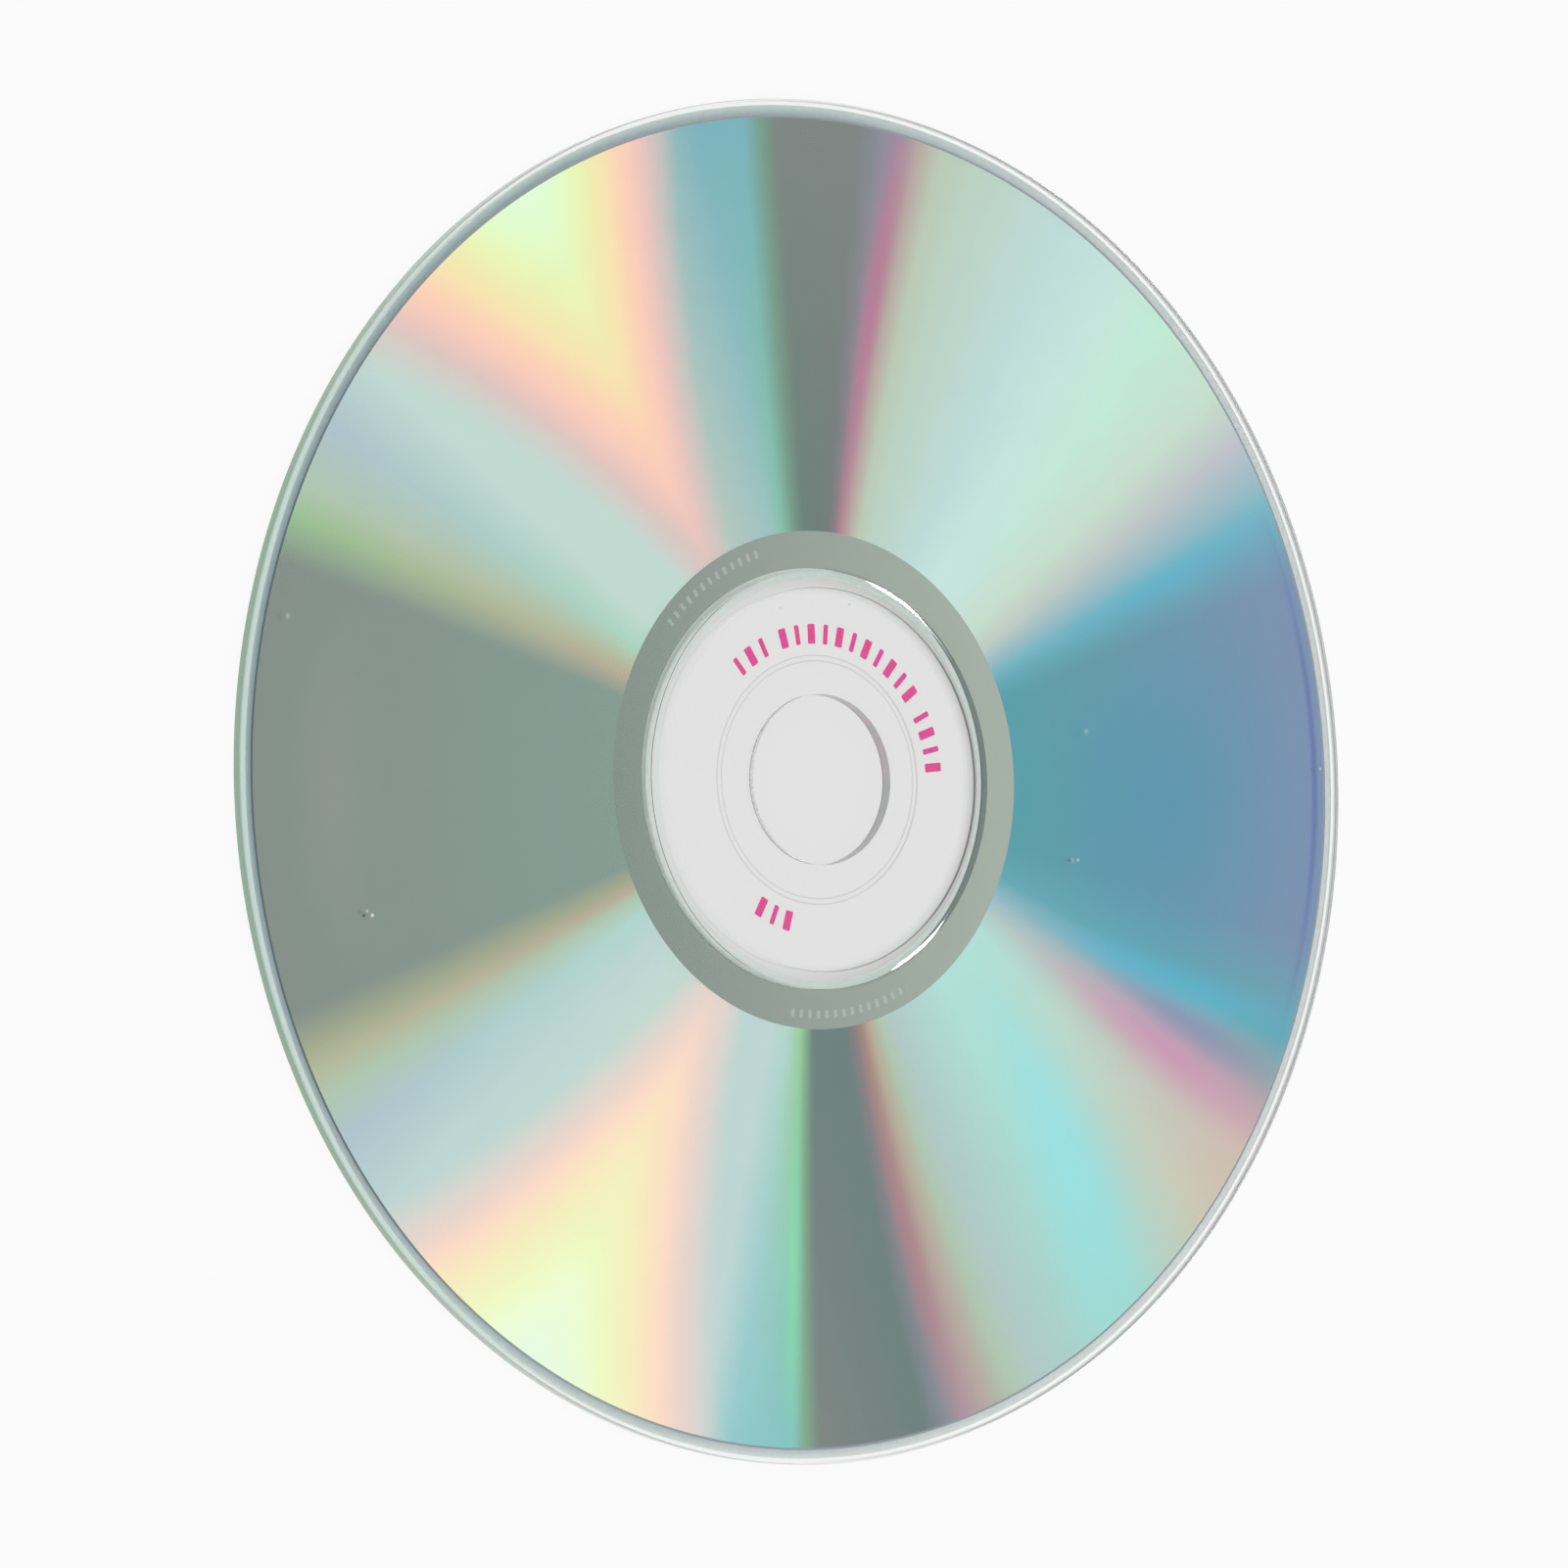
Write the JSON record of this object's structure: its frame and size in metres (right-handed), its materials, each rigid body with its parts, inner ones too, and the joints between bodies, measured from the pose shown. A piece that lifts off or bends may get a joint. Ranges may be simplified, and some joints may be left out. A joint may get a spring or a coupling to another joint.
{
  "type": "compact disc",
  "caption": "Recordable compact disc with a clear moulded body, silver and dye films, a clear hub with printed marks and a centre hole.",
  "frame": {"origin": "centre of the disc's hole, on the plane that the disc lies on", "axes": "+Z along the disc's axis, out of the shiny read side, which faces up; the printed marks run from just above +X anticlockwise"},
  "size_m": [0.12, 0.12, 0.0014],
  "materials": {
    "clear_polycarbonate": "clear moulded polycarbonate, polished, faintly green at its edges",
    "recording_dye": "recording dye over silver, a grooved mirror that splits light into rainbow bands",
    "silver_film": "sputtered silver film seen through the clear disc, a grey-green mirror",
    "label_lacquer": "cured lacquer with a plain printed face",
    "magenta_ink": "screen-printed magenta ink"
  },
  "bodies": {
    "root": {"substrate": "clear_polycarbonate", "dye_layer": "recording_dye", "silver_layer": "silver_film", "label_coat": "label_lacquer", "print_bar_01": "magenta_ink", "print_bar_02": "magenta_ink", "print_bar_03": "magenta_ink", "print_bar_04": "magenta_ink", "print_bar_05": "magenta_ink", "print_bar_06": "magenta_ink", "print_bar_07": "magenta_ink", "print_bar_08": "magenta_ink", "print_bar_09": "magenta_ink", "print_bar_10": "magenta_ink", "print_bar_11": "magenta_ink", "print_bar_12": "magenta_ink", "print_bar_13": "magenta_ink", "print_bar_14": "magenta_ink", "print_bar_15": "magenta_ink", "print_bar_16": "magenta_ink", "print_bar_17": "magenta_ink", "print_bar_18": "magenta_ink", "print_bar_19": "magenta_ink", "print_bar_20": "magenta_ink", "print_bar_21": "magenta_ink"}
  },
  "joints": []
}
